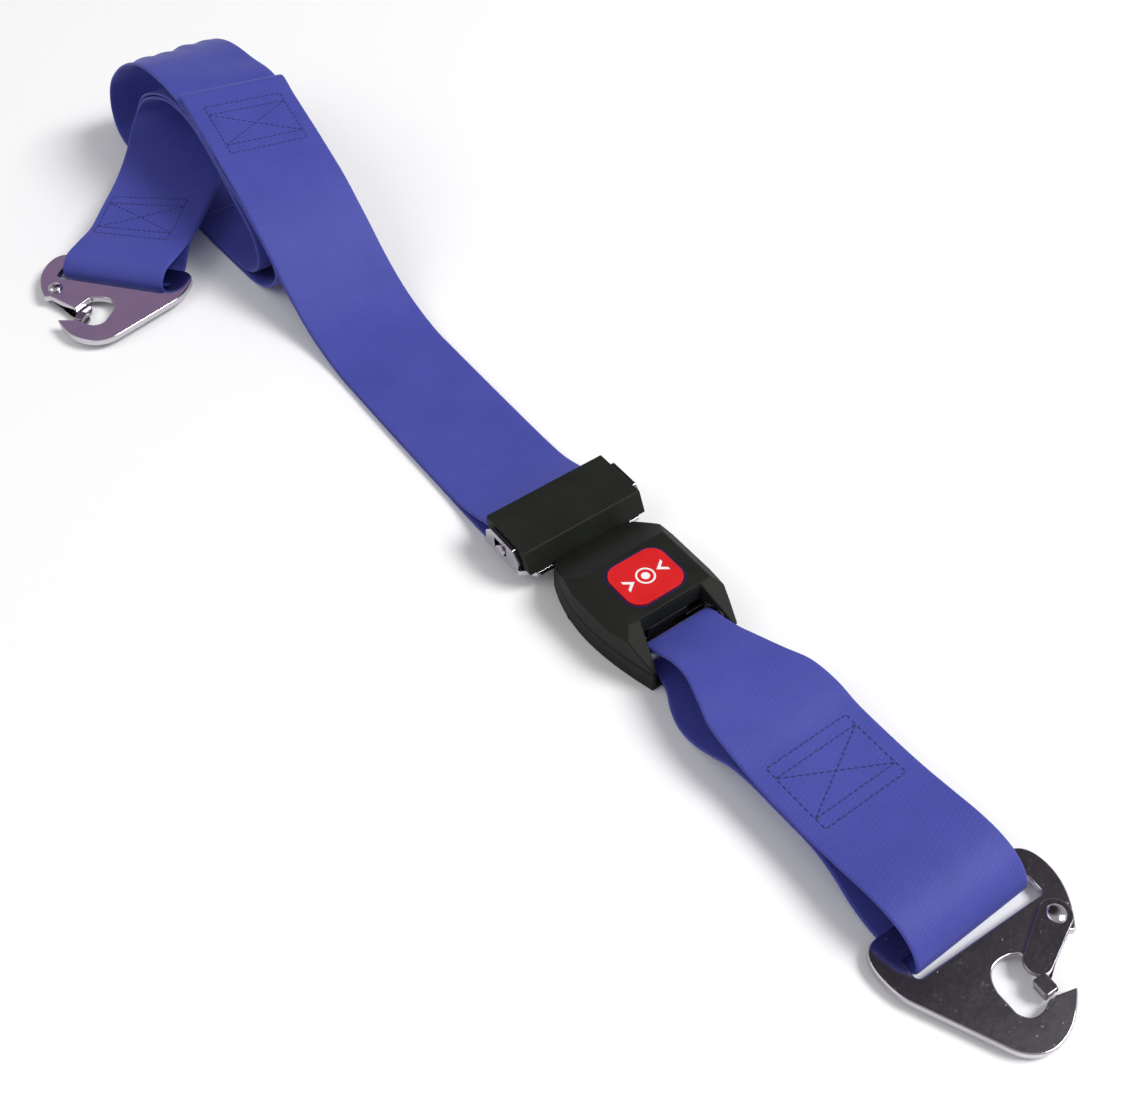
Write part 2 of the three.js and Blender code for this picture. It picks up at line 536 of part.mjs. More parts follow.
function addClip(prefix, group) {
  const { thick, gateLow, gateHigh, headLow, headHigh, pivot } = CLIP;
  const [px, py] = pivot;
  let body = plate(clipOutline(), 0, thick, 10);
  body = body.subtract(plate(roundedRect(-8, 0, -27.4, 27.4, 2), -1, thick + 1, 3));
  body = body.subtract(rod('z', 10, 1.9, [px, py, 0], 16));
  addMesh(`${prefix}_clip_plate`, toGeometry(body), CHROME, group);

  const lean = rad(-63);
  let gate = plate(capsule(px, py, lean, 18.6, 5.6, 4.8), gateLow, gateHigh, 6);
  gate = gate.add(plate(roundedRect(19.9, 26.2, 1, 6.6, 1.2), gateLow, gateHigh, 3));
  gate = gate.add(plate(polygon([[20.6, 2], [26.2, 2], [26.2, 6], [20.6, 6]]), 0.2, gateHigh));
  gate = gate.subtract(rod('z', 2, 3.7, [px, py, gateLow + 0.2], 20));
  gate = gate.subtract(rod('z', 10, 1.9, [px, py, 4], 16));
  addMesh(`${prefix}_clip_gate`, toGeometry(gate), CHROME, group);

  const head = rod('z', headHigh - gateHigh - GAP, 3.4, [px, py, (headHigh + gateHigh + GAP) / 2], 20);
  const foot = rod('z', -GAP - headLow, 3.4, [px, py, (headLow - GAP) / 2], 20);
  const shank = rod('z', headHigh - headLow - 0.4, 1.6, [px, py, (headHigh + headLow) / 2], 16);
  addMesh(`${prefix}_clip_rivet`, toGeometry(head.add(foot).add(shank)), STEEL, group);
  addMesh(`${prefix}_gate_spring`, coil(2.75, 0.22, 0.85, 0.1, [px, py, gateLow + 0.35]), STEEL, group);
}

function addClips() {
  const near = new THREE.Group();
  near.position.set(NEAR_CLIP.x, NEAR_CLIP.y, NEAR_CLIP.z);
  near.rotation.z = rad(NEAR_CLIP.turn);
  root.add(near);
  addClip('near', near);

  const far = new THREE.Group();
  far.position.set(FAR_CLIP.x, FAR_CLIP.y, FAR_CLIP.z);
  far.rotation.z = rad(FAR_CLIP.turn);
  const flipped = new THREE.Group();
  flipped.rotation.x = Math.PI;
  far.add(flipped);
  root.add(far);
  addClip('far', flipped);
}

const buckle = new THREE.Group();
buckle.position.y = BUCKLE_Y;
root.add(buckle);
addBuckle(buckle);
addTongue(buckle);
addLongStrap();
addShortStrap();
addClips();

// The origin is the middle of the footprint, on the plane the strap lies on.
const extent = new THREE.Box3().setFromObject(root, true);
const centre = extent.getCenter(new THREE.Vector3());
root.position.set(-centre.x, -centre.y, -extent.min.z);
const model = new THREE.Group();
model.add(root);
model.updateMatrixWorld(true);
export default model;
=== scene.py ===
import math
import bpy
import bmesh
import numpy as np
from mathutils import Matrix, Vector


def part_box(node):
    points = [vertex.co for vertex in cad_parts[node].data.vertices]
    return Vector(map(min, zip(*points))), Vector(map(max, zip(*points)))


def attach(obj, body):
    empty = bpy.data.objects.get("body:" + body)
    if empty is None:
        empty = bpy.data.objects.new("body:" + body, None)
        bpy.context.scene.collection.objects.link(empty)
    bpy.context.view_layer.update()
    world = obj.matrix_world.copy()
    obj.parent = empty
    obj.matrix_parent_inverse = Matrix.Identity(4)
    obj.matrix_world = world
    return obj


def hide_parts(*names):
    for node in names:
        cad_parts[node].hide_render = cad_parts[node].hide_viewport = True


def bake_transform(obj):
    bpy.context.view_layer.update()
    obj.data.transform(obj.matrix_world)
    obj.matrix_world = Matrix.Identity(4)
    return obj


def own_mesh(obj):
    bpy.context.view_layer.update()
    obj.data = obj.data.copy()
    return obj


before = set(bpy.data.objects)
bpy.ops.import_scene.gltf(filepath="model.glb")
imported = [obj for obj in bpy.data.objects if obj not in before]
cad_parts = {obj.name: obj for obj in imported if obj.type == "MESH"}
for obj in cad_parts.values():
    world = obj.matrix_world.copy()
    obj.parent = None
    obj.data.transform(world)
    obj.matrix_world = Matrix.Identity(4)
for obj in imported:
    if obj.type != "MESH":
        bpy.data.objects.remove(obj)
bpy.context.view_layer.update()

MM = 0.001
WEB_HALF = 25.4                         # half the webbing's width
WEB_T = 1.5                             # its thickness
FLOOR_WEB = 0.8                         # height of the middle of webbing that lies on the table
FLOOR_GAP = 0.02                        # nothing of the webbing lies lower
LAYER = 1.9                             # from one stacked layer's middle to the next
LOW = FLOOR_WEB + LAYER                 # height of the second layer
RING_STEP = 1.2                         # spacing of the long strap's rings
BAR_X, BUCKLE_Y, BAR_Z = -79.5, -1.3, 8.5
BUTTON_X = -101.5
SYMBOL_Z = (22.66, 22.76)               # bottom and top of the printed pictogram
GAP_Z = (21.97, 22.06)                  # bottom and top of the dark line round the button
BAR_WRAP = 4.0                          # the short strap's radius about the strap bar
SLIM = 15.4                             # its half width there, between the buckle's sides
PATCH_SPOT, PATCH_V = (-409.5, 8, 57.6), 0.4
CLIP_BOX_SPOT, CLIP_BOX_V = (-428, -47.6, 15.2), -3.8
SHORT_BOX_SPOT = (0, 0, 15)

# The strap is laid out in millimetres about the short strap's sewn box; the buckle's bar ties it to the row frame.
bar_lo, bar_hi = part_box("strap_bar")
SHIFT = np.array((bar_lo + bar_hi) / 2) / MM - np.array([BAR_X, BUCKLE_Y, BAR_Z])


def place(points):
    return (np.asarray(points, float) + SHIFT) * MM


# ---------- materials ----------
def new_material(name):
    m = bpy.data.materials.new(name)
    m.use_nodes = True
    return m, m.node_tree.nodes, m.node_tree.links, m.node_tree.nodes["Principled BSDF"]


def noise_node(nodes, links, coord, scale, detail=3.0, rough=0.5):
    n = nodes.new("ShaderNodeTexNoise")
    n.inputs["Scale"].default_value = scale
    n.inputs["Detail"].default_value = detail
    n.inputs["Roughness"].default_value = rough
    links.new(coord, n.inputs["Vector"])
    return n.outputs["Fac"]


def ramp_node(nodes, links, value, stops):
    r = nodes.new("ShaderNodeValToRGB")
    while len(r.color_ramp.elements) < len(stops):
        r.color_ramp.elements.new(0.5)
    for e, (p, c) in zip(r.color_ramp.elements, stops):
        e.position = p
        e.color = (*c, 1)
    links.new(value, r.inputs["Fac"])
    return r.outputs["Color"]


def bump_node(nodes, links, height, strength, distance, normal=None):
    b = nodes.new("ShaderNodeBump")
    b.inputs["Strength"].default_value = strength
    b.inputs["Distance"].default_value = distance
    links.new(height, b.inputs["Height"])
    if normal is not None:
        links.new(normal, b.inputs["Normal"])
    return b.outputs["Normal"]


def math_node(nodes, links, op, a, b=None):
    n = nodes.new("ShaderNodeMath")
    n.operation = op
    for i, v in enumerate((a, b)):
        if isinstance(v, (int, float)):
            n.inputs[i].default_value = v
        elif v is not None:
            links.new(v, n.inputs[i])
    return n.outputs[0]


def object_coord(nodes):
    return nodes.new("ShaderNodeTexCoord").outputs["Object"]


def webbing_material():
    """Woven webbing: UV is in millimetres, u along the strap and v across it."""
    yarn_pitch, pick_pitch = 1.25, 1.7
    m, nodes, links, bsdf = new_material("webbing")
    uv = nodes.new("ShaderNodeUVMap")
    uv.uv_map = "web"
    parts = nodes.new("ShaderNodeSeparateXYZ")
    links.new(uv.outputs["UV"], parts.inputs[0])
    u, v = parts.outputs["X"], parts.outputs["Y"]
    M = lambda op, a, b=None: math_node(nodes, links, op, a, b)
    column = M("FLOOR", M("DIVIDE", v, yarn_pitch))
    phase = M("ADD", M("DIVIDE", u, pick_pitch), M("MULTIPLY", column, 0.25))
    rib = M("ABSOLUTE", M("SINE", M("MULTIPLY", phase, math.pi)))
    yarn = M("ABSOLUTE", M("SINE", M("MULTIPLY", M("DIVIDE", v, yarn_pitch), math.pi)))
    weave = M("MULTIPLY", M("POWER", rib, 0.6), M("ADD", M("MULTIPLY", yarn, 0.6), 0.4))
    coord = object_coord(nodes)
    cloud = noise_node(nodes, links, coord, 42, 4, 0.6)
    fibre = noise_node(nodes, links, coord, 1500, 3, 0.65)
    tone = M("ADD", M("MULTIPLY", weave, 0.24), M("MULTIPLY", cloud, 0.5))
    tone = M("ADD", tone, M("MULTIPLY", M("SUBTRACT", fibre, 0.25), 0.5))
    color = ramp_node(nodes, links, tone, [(0.12, (0.038, 0.045, 0.252)), (0.45, (0.053, 0.062, 0.322)),
                                          (0.8, (0.071, 0.080, 0.38))])
    links.new(color, bsdf.inputs["Base Color"])
    bsdf.inputs["Roughness"].default_value = 0.6
    bsdf.inputs["Specular IOR Level"].default_value = 0.24
    bsdf.inputs["Sheen Weight"].default_value = 0.12
    bsdf.inputs["Sheen Roughness"].default_value = 0.4
    bsdf.inputs["Sheen Tint"].default_value = (0.75, 0.72, 1, 1)
    normal = bump_node(nodes, links, weave, 0.15, 0.00014)
    normal = bump_node(nodes, links, fibre, 0.2, 0.00008, normal)
    links.new(normal, bsdf.inputs["Normal"])
    return m


def thread_material():
    m, _, _, bsdf = new_material("thread")
    bsdf.inputs["Base Color"].default_value = (0.010, 0.010, 0.10, 1)
    bsdf.inputs["Roughness"].default_value = 0.55
    return m


def plastic_material(name, dark, light, rough, grain, gloss=0.35):
    m, nodes, links, bsdf = new_material(name)
    coord = object_coord(nodes)
    fine = noise_node(nodes, links, coord, 1500, 3, 0.6)
    broad = noise_node(nodes, links, coord, 60, 3, 0.55)
    color = ramp_node(nodes, links, broad, [(0.3, dark), (0.75, light)])
    links.new(color, bsdf.inputs["Base Color"])
    spread = nodes.new("ShaderNodeMapRange")
    spread.inputs["To Min"].default_value = rough - 0.08
    spread.inputs["To Max"].default_value = rough + 0.1
    links.new(broad, spread.inputs["Value"])
    links.new(spread.outputs[0], bsdf.inputs["Roughness"])
    bsdf.inputs["Specular IOR Level"].default_value = gloss
    links.new(bump_node(nodes, links, fine, grain, 0.0001), bsdf.inputs["Normal"])
    return m


def metal_material(name, color, rough, wear=0.3):
    m, nodes, links, bsdf = new_material(name)
    coord = object_coord(nodes)
    fine = noise_node(nodes, links, coord, 900, 4, 0.65)
    broad = noise_node(nodes, links, coord, 90, 3, 0.5)
    tint = ramp_node(nodes, links, broad, [(0.3, tuple(c * 0.9 for c in color)), (0.8, color)])
    links.new(tint, bsdf.inputs["Base Color"])
    bsdf.inputs["Metallic"].default_value = 1
    spread = nodes.new("ShaderNodeMapRange")
    spread.inputs["To Min"].default_value = rough * 0.6
    spread.inputs["To Max"].default_value = rough * 1.5
    links.new(fine, spread.inputs["Value"])
    links.new(spread.outputs[0], bsdf.inputs["Roughness"])
    normal = bump_node(nodes, links, broad, wear, 0.0003)
    dust = nodes.new("ShaderNodeMapRange")
    dust.inputs["From Min"].default_value = 0.73
    dust.inputs["From Max"].default_value = 0.77
    links.new(noise_node(nodes, links, coord, 1100, 2, 0.5), dust.inputs["Value"])
    links.new(bump_node(nodes, links, dust.outputs[0], 0.5, 0.0002, normal), bsdf.inputs["Normal"])
    return m


WEBBING = webbing_material()
THREAD = thread_material()
BLACK = plastic_material("black_shell", (0.0070, 0.0083, 0.0060), (0.0120, 0.0140, 0.0102), 0.58, 0.9, 0.2)
RED = plastic_material("red_button", (0.60, 0.012, 0.014), (0.68, 0.018, 0.02), 0.35, 0.05)
RING = plastic_material("button_gap", (0.008, 0.008, 0.075), (0.01, 0.01, 0.1), 0.5, 0.05)
SYMBOL = plastic_material("symbol_white", (0.8, 0.8, 0.8), (0.85, 0.85, 0.85), 0.4, 0.05)
CHROME = metal_material("chrome", (0.62, 0.59, 0.64), 0.12)
STEEL = metal_material("steel", (0.42, 0.43, 0.45), 0.3)
# A darker copy of the chrome for both gate levers: painted shade that dims their reflection of the bright
# surroundings.
PAINTED_SHADE_GATE_CHROME = metal_material("gate_chrome_painted_shade", (0.33, 0.31, 0.35), 0.16)


# ---------- helpers for solid pieces ----------
def new_mesh(name, verts, faces):
    mesh = bpy.data.meshes.new(name)
    mesh.from_pydata([tuple(p) for p in verts], [], faces)
    return mesh


def face_outward(mesh, weld=0.0):
    """Turns every face outward, after merging points closer than weld metres."""
    bm = bmesh.new()
    bm.from_mesh(mesh)
    if weld:
        bmesh.ops.remove_doubles(bm, verts=bm.verts, dist=weld)
    bmesh.ops.recalc_face_normals(bm, faces=bm.faces)
    bm.to_mesh(mesh)
    bm.free()


def drop_cad_normals(mesh):
    found = mesh.attributes.get("custom_normal")
    if found is not None:
        mesh.attributes.remove(found)


def add_object(name, mesh, material, body=None, stands_for=(), smooth=True):
    obj = bpy.data.objects.new(name, mesh)
    bpy.context.scene.collection.objects.link(obj)
    if material is not None:
        mesh.materials.append(material)
    if smooth:
        mesh.polygons.foreach_set("use_smooth", [True] * len(mesh.polygons))
    if body:
        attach(obj, body)
    if stands_for:
        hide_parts(*stands_for)
    return obj


def dress_node(node, material, bevel=0.0, segments=2, clamp=True):
    """Gives a CAD node its finish and softened edges."""
    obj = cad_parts[node]
    obj.data.materials.clear()
    obj.data.materials.append(material)
    drop_cad_normals(obj.data)
    obj.data.polygons.foreach_set("use_smooth", [True] * len(obj.data.polygons))
    weld = obj.modifiers.new("weld", "WELD")
    weld.merge_threshold = 0.00001
    flat = obj.modifiers.new("flat", "DECIMATE")
    flat.decimate_type = "DISSOLVE"
    flat.angle_limit = math.radians(1.5)
    if bevel:
        b = obj.modifiers.new("edge", "BEVEL")
        b.width = bevel * MM
        b.segments = segments
        b.limit_method = "ANGLE"
        b.angle_limit = math.radians(28)
        b.harden_normals = True
        b.use_clamp_overlap = clamp
    w = obj.modifiers.new("normals", "WEIGHTED_NORMAL")
    w.keep_sharp = True


# ---------- webbing ----------
def catmull(rows, closed=False, per=30):
    """A centripetal Catmull-Rom curve through the rows; the first three columns are the place."""
    p = np.array(rows, float)
    if closed:
        p = np.vstack([p[-1:], p, p[:2]])
    else:
        p = np.vstack([2 * p[0] - p[1], p, 2 * p[-1] - p[-2]])
    t = np.linspace(0, 1, per, endpoint=False)[:, None]
    out = []
    for i in range(1, len(p) - 2):
        p0, p1, p2, p3 = p[i - 1 : i + 3]
        d0, d1, d2 = (max(np.linalg.norm((b - a)[:3]) ** 0.5, 1e-6) for a, b in ((p0, p1), (p1, p2), (p2, p3)))
        m1 = ((p1 - p0) / d0 - (p2 - p0) / (d0 + d1) + (p2 - p1) / d1) * d1
        m2 = ((p2 - p1) / d1 - (p3 - p1) / (d1 + d2) + (p3 - p2) / d2) * d1
        h = (2 * t**3 - 3 * t**2 + 1, t**3 - 2 * t**2 + t, -2 * t**3 + 3 * t**2, t**3 - t**2)
        out.append(h[0] * p1 + h[1] * m1 + h[2] * p2 + h[3] * m2)
    if not closed:
        out.append(p[-2:-1])
    return np.vstack(out)


def evenly(path, step, closed=False):
    """The path again in even steps, each row's distance along it, and its whole length."""
    line = np.vstack([path, path[:1]]) if closed else path
    along = np.concatenate([[0], np.cumsum(np.linalg.norm(np.diff(line[:, :3], axis=0), axis=1))])
    count = max(4, int(round(along[-1] / step)))
    at = np.linspace(0, along[-1], count + 1)
    if closed:
        at = at[:-1]
    return np.stack([np.interp(at, along, line[:, k]) for k in range(line.shape[1])], 1), at, along[-1]


class Web:
    """One length of webbing: its middle line, its cross line and its normal at each ring, in millimetres."""

    def __init__(self, stations, closed=False, step=1.3, warp=None):
        path, self.u, self.length = evenly(catmull(stations, closed), step, closed)
        self.closed = closed
        self.mid = path[:, :3]
        turn, lean = np.radians(path[:, 3]), np.radians(path[:, 5])
        self.half = path[:, 4]
        if closed:
            tangent = np.roll(self.mid, -1, 0) - np.roll(self.mid, 1, 0)
        else:
            tangent = np.gradient(self.mid, axis=0)
        tangent /= np.linalg.norm(tangent, axis=1)[:, None]
        self.cross = np.stack([np.cos(turn) * np.cos(lean), np.sin(turn) * np.cos(lean), np.sin(lean)], 1)
        normal = np.cross(tangent, self.cross)
        self.normal = normal / np.linalg.norm(normal, axis=1)[:, None]
        self.tangent = tangent
        self.warp = warp

    def surface(self, columns, lift):
        """Points at fractions -1..1 across, lifted from the middle layer; (rings, columns, 3)."""
        v = columns[None, :] * self.half[:, None]
        rise = self.warp(self, v) if self.warp else 0 * v
        at = self.mid[:, None, :] + self.cross[:, None, :] * v[..., None]
        return at + self.normal[:, None, :] * (rise + lift)[..., None]

    def mesh(self, name):
        """The webbing with rounded edges, as one closed body."""
        flat = 0.955
        inner = np.linspace(-flat, flat, 37)
        edge = np.array([0.97, 0.983, 0.993, 0.999])
        cols = np.concatenate([-edge[::-1], inner, edge])
        inset = np.clip((np.abs(cols) - flat) / (1 - flat), 0, 1)
        thick = WEB_T / 2 * np.sqrt(1 - inset**2)
        top = self.surface(cols, thick[None, :])
        low = self.surface(cols, -thick[None, :])[:, ::-1]
        ring = np.concatenate([top, low], 1)
        ring[..., 2] = np.maximum(ring[..., 2], FLOOR_GAP)
        rings, size = ring.shape[:2]
        faces, uvs = [], []
        across = np.concatenate([cols, cols[::-1]]) * WEB_HALF
        links = rings if self.closed else rings - 1
        for i in range(links):
            j = (i + 1) % rings
            u0, u1 = self.u[i], self.u[i + 1] if i + 1 < rings else self.length
            for k in range(size):
                n = (k + 1) % size
                faces.append((i * size + k, i * size + n, j * size + n, j * size + k))
                uvs.extend([(u0, across[k]), (u0, across[n]), (u1, across[n]), (u1, across[k])])
        if not self.closed:
            faces.append(tuple(range(size - 1, -1, -1)))
            uvs.extend([(0.0, across[k]) for k in range(size - 1, -1, -1)])
            faces.append(tuple((rings - 1) * size + k for k in range(size)))
            uvs.extend([(self.length, across[k]) for k in range(size)])
        mesh = new_mesh(name, place(ring.reshape(-1, 3)), faces)
        layer = mesh.uv_layers.new(name="web")
        layer.data.foreach_set("uv", np.array(uvs, float).ravel())
        face_outward(mesh)
        return mesh

    def at(self, u, v, lift, side=1):
        """A point, the way along, the way across and the outward normal at u, v millimetres."""
        k = np.interp(u, self.u, np.arange(len(self.u)))
        i = int(np.clip(k, 0, len(self.u) - 2))
        w = k - i
        mix = lambda a: a[i] * (1 - w) + a[i + 1] * w
        mid, cross, normal, along = mix(self.mid), mix(self.cross), mix(self.normal), mix(self.tangent)
        if self.warp:
            rise = self.warp(Slice(mix(self.u), mid), np.array([[v]]))
            mid = mid + normal * float(rise[0, 0])
        return mid + cross * v + normal * (lift * side), along, cross, normal * side


class Slice:
    """One place along a Web, in the form that a warp reads."""

    def __init__(self, u, mid):
        self.u, self.mid = np.array([u]), mid[None]


def bell(x, centre, width):
    return np.exp(-(((x - centre) / width) ** 2))


def stitch_mesh(name, web, lines, side=1, pitch=2.45, long=2.15, wide=0.58, high=0.3):
    """Short raised stitches along straight lines given as ((u, v), (u, v)) on the webbing."""
    ring = 6
    swells = ((-1, 0.12), (-0.8, 0.75), (-0.35, 1.0), (0.35, 1.0), (0.8, 0.75), (1, 0.12))
    last = len(swells) - 1
    verts, faces = [], []
    for (u0, v0), (u1, v1) in lines:
        total = math.hypot(u1 - u0, v1 - v0)
        count = max(1, int(total / pitch))
        for s in range(count):
            c = (s + 0.5) / count
            u, v = u0 + (u1 - u0) * c, v0 + (v1 - v0) * c
            p, along, cross, normal = web.at(u, v, WEB_T / 2 - 0.03, side)
            du, dv = (u1 - u0) / total, (v1 - v0) / total
            way = along * du + cross * dv
            way = way / np.linalg.norm(way)
            beside = np.cross(normal, way)
            base = len(verts)
            for f, swell in swells:
                for k in range(ring):
                    a = 2 * math.pi * k / ring
                    verts.append(p + way * f * long / 2 + beside * math.cos(a) * wide / 2 * swell
                                 + normal * (math.sin(a) * high * swell - 0.1 * abs(f)))
            for r in range(last):
                for k in range(ring):
                    n = (k + 1) % ring
                    faces.append((base + r * ring + k, base + r * ring + n,
                                  base + (r + 1) * ring + n, base + (r + 1) * ring + k))
            faces.append(tuple(base + k for k in range(ring - 1, -1, -1)))
            faces.append(tuple(base + last * ring + k for k in range(ring)))
    return new_mesh(name, place(verts), faces)


def box_lines(u, v, long, wide, bars):
    """A sewn rectangle with a cross in its middle part; bars are the two inner lines' distance from the ends."""
    a, b, c, d = u - long / 2, u + long / 2, v - wide / 2, v + wide / 2
    lines = [((a, c), (b, c)), ((b, c), (b, d)), ((b, d), (a, d)), ((a, d), (a, c))]
    p, q = a + bars, b - bars
    lines += [((p, c), (p, d)), ((q, c), (q, d)), ((p, c), (q, d)), ((p, d), (q, c))]
    return lines


# Stations of the webbing's middle line: x, y, z, bearing of the cross line, half width, rise of the cross line.
def full(x, y, z, turn=88.5, lean=0.0, half=WEB_HALF):
    return (x, y, z, turn, half, lean)


def layered(stations, offset):
    """The same stations moved along the webbing's normal: the middle of the next layer."""
    out = []
    for i, st in enumerate(stations):
        along = np.subtract(stations[min(i + 1, len(stations) - 1)][:3], stations[max(i - 1, 0)][:3])
        turn, lean = math.radians(st[3]), math.radians(st[5])
        cross = (math.cos(turn) * math.cos(lean), math.sin(turn) * math.cos(lean), math.sin(lean))
        normal = np.cross(along, cross)
        out.append((*(np.array(st[:3]) + normal / np.linalg.norm(normal) * offset), *st[3:]))
    return out


TAIL = [
    full(-168.2, -2.1, 9.3), full(-176, -2, 6.4), full(-186, -2, 3.7), full(-200, -1.8, LOW),
    full(-228, -1.4, LOW), full(-256, -0.8, LOW), full(-276, -0.3, LOW, 88.2), full(-285, -0.1, LOW + 0.16, 88),
    full(-292, 0.2, LOW + 0.8, 87.8), full(-300, 0.5, 4.9, 87.5), full(-312, 0.9, 8.3, 86.5),
    full(-323, 1.4, 13.2, 86, -0.8), full(-335, 2, 20.3, 85, -1.6), full(-347, 2.7, 28.9, 84, -2.5),
    full(-358, 3.3, 36.3, 83, -3), full(-370, 4.3, 42.7, 82, -3), full(-384, 5.4, 48.1, 81, -3.2),
    full(-398, 6.8, 52.3, 80, -3.4), full(-412, 8.2, 55.9, 79.5, -3.4), full(-424, 9.4, 59.1, 79, -3.2),
    full(-435, 10.6, 62, 79, -2.4),
]
HEM_FOLD = full(-436.6, 10.5, 61.2, 79, -2.4)
WRAP = [full(x, -2.1, z, 90) for x, z in (
    (-164, 10.6), (-160.8, 12.4), (-158.2, 14.3), (-155, 15.55), (-151.8, 15.75), (-149.4, 14.7), (-148.5, 12.3),
    (-148.6, 9), (-149.6, 6), (-152.6, 3.3), (-157.5, 1.7), (-162.5, 1), (-168, FLOOR_WEB), (-186, FLOOR_WEB))]
LOOP = [
    full(-435.5, 9.8, 57.8, 79, -2.4), full(-447, 9.8, 59.7, 80, -2.8), full(-463, 9.6, 59.1, 83, -5.6),
    full(-479, 9.3, 57.9, 86, -5.4), full(-494, 9, 53.7, 88, -3.4), full(-507, 8.6, 47.3, 89, -1.8),
    full(-518, 8, 38.2, 89, -3), full(-525.4, 7.2, 29, 88, -4.4), full(-529, 6.2, 20, 88, -5.2),
    full(-530, 5.4, 11, 88, -5), full(-526.8, 4.6, 4.6, 88, -2), full(-520, 4, 1.6), full(-512, 3.4, FLOOR_WEB, 89),
]
FOLD = [
    full(-470, 1.4, FLOOR_WEB, 89), full(-430, 0.4, FLOOR_WEB, 89), full(-395, 1, FLOOR_WEB, 89),
    full(-382, 1.4, FLOOR_WEB + 0.04, 89), full(-374, 1.7, 1.05, 89), full(-366, 2, 2.4, 89),
    full(-357, 2.4, 6.6, 89), full(-350, 2.8, 12.5, 89), full(-346.6, 3.2, 18.4, 89, -0.5),
    full(-348.2, 3.4, 23.9, 88.5, -1.2), full(-354.5, 3.8, 28.4, 88, -2), full(-364, 4.4, 33.1, 87, -2.6),
    full(-376, 5.2, 38.2, 86, -3), full(-389, 6.2, 42, 85, -3.2),
]
ROLL = [
    full(-430, 1, LOW, 89), full(-400, 1.4, LOW, 89), full(-386, 1.8, LOW + 0.1, 89), full(-377, 2, 4.2, 89),
    full(-370, 2.3, 7.6, 89), full(-365.2, 2.5, 12.5, 89), full(-363.2, 2.9, 17.9, 89, -0.5),
    full(-364, 3.4, 23.6, 88.5, -1.2), full(-367.5, 3.9, 28.5, 88, -2), full(-373.5, 4.5, 32.1, 87, -2.6),
    full(-381, 5.2, 35.3, 86, -3), full(-389, 6, 38.9, 85, -3.2),
]
RUN = [
    full(-401, 7.4, 43.5, 83, -3.4), full(-412, 8.8, 46.4, 81, -3.2), full(-427, 10.6, 49.1, 79, -2),
    full(-445, 11.8, 49.7, 76, -0.8), full(-461, 12, 47, 74), full(-477, 9.8, 40.5, 72), full(-486, 8.4, 33, 69),
    full(-489, 5.4, 26, 66), full(-483, -1.6, 20.5, 62), full(-469, -11.6, 18, 57),
    full(-448.4, -27.4, 17.2, 52), full(-431.6, -44, 15.5, 47.5),
]
CLIP_WRAP = [
    full(-420.5, -55.5, 14.2, 44), full(-411.8, -66.8, 14.8, 41), full(-408.8, -74, 12.8, 40.2),
    full(-406.8, -77.9, 8.5, 40.2), full(-406.4, -78.6, 4.6, 40.2), full(-407.2, -77.3, 2.1, 40.2),
    full(-409.8, -73.2, 1.2, 40.2), full(-414, -66.6, 1.4, 40.2), full(-417, -62.4, 2.6, 40.2),
    full(-419.8, -58.8, 7, 40.6), full(-423.2, -54.6, 11.2, 42),
]


def long_warp(web, v):
    """Small waves of a strap that was folded in store; stacked parts stay flat."""
    x = web.mid[:, 0][:, None]
    z = web.mid[:, 2][:, None]
    u = web.u[:, None]
    share = v / WEB_HALF
    bend = bell(x, -512, 22) * np.clip((z - 18) / 14, 0, 1) * np.clip((-480 - x) / 12, 0, 1)
    rise = bend * (0.45 * np.sin(share * 14 + 0.5) + 0.35 * np.sin(share * 7.3 + 2))
    arch = np.clip((z - 8) / 25, 0, 1) * np.clip((-436 - x) / 12, 0, 1)
    return rise + arch * 0.2 * np.sin(u / 17 + share * 1.3) * share


def box_on(web, name, spot, v, long, wide, bars):
    """Stitches a sewn box about the webbing's nearest ring to a spot, on its upper face."""
    near = int(np.argmin(np.linalg.norm(web.mid - np.array(spot), axis=1)))
    side = 1 if web.normal[near][2] > 0 else -1
    return stitch_mesh(name, web, box_lines(web.u[near], v, long, wide, bars), side)


def build_long_strap():
    under = layered(TAIL[:-5], LAYER)[3:] + layered(TAIL[-5:-1], 2 * LAYER)
    stations = (layered(TAIL[-4:], LAYER) + [HEM_FOLD] + TAIL[::-1] + WRAP + under + LOOP + FOLD
                + layered(RUN, -LAYER) + CLIP_WRAP[::-1] + RUN[::-1] + ROLL[::-1])
    web = Web(stations, warp=long_warp, step=RING_STEP)
    obj = add_object("long_strap_webbing", web.mesh("long_strap_webbing"), WEBBING)
    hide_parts("long_strap_wrap", "long_strap_upper", "long_strap_lower", "long_strap_loop",
                "long_strap_fold", "long_strap_inner_fold", "long_strap_clip_loop", "long_strap_lining")
    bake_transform(obj)
    mesh = box_on(web, "patch_stitching", PATCH_SPOT, PATCH_V, 31, 37, 5.2)
    add_object("patch_stitching", mesh, THREAD, "long_strap")
    mesh = box_on(web, "clip_stitching", CLIP_BOX_SPOT, CLIP_BOX_V, 29, 37, 5.2)
    add_object("clip_stitching", mesh, THREAD, "long_strap")


def short(x, z, half=WEB_HALF, y=0.0, lean=0.0):
    return (x, y, z, 90, half, lean)


def round_bar(dx, dz):
    """A station of the short strap where it goes round the buckle's strap bar."""
    return short(BAR_X + dx * BAR_WRAP, BAR_Z + dz * BAR_WRAP, SLIM, BUCKLE_Y)


